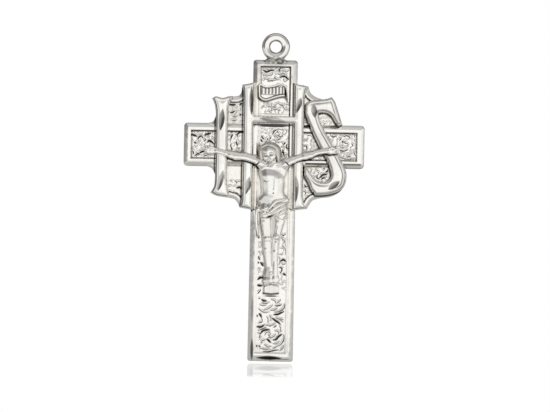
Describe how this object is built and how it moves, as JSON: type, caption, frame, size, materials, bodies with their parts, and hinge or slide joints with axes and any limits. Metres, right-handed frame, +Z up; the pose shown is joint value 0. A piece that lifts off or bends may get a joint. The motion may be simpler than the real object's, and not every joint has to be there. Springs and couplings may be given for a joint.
{
  "type": "crucifix pendant",
  "caption": "Small silver crucifix pendant with a corpus, a pierced three-part monogram on corner webs, raised rims and a fixed eyelet for a ring or chain",
  "frame": {"origin": "centre of the eyelet's bore, midway through its thickness", "axes": "+Z up along the shaft, +X to the viewer's right along the arms, front faces -Y, flat back faces +Y"},
  "size_m": [0.019, 0.0031, 0.0346],
  "materials": {
    "cross": "polished, darkened hollows",
    "webs": "satin, ground by hand",
    "letters": "bright polished",
    "titulus": "polished, darkened hollows",
    "figure": "polished, darkened hollows",
    "cloth": "polished, darkened hollows",
    "nails": "bright polished",
    "eyelet": "polished, soldered joint"
  },
  "bodies": {
    "root": {"cross_body": "cross", "corner_plate_upper_left": "webs", "corner_plate_lower_left": "webs", "corner_plate_upper_right": "webs", "corner_plate_lower_right": "webs", "monogram_left_bar": "letters", "monogram_centre_frame": "letters", "monogram_right_scroll": "letters", "titulus_plaque": "titulus", "corpus": "figure", "loincloth": "cloth", "footrest": "figure", "nails": "nails", "eyelet": "eyelet", "eyelet_saddle": "eyelet"}
  },
  "joints": []
}
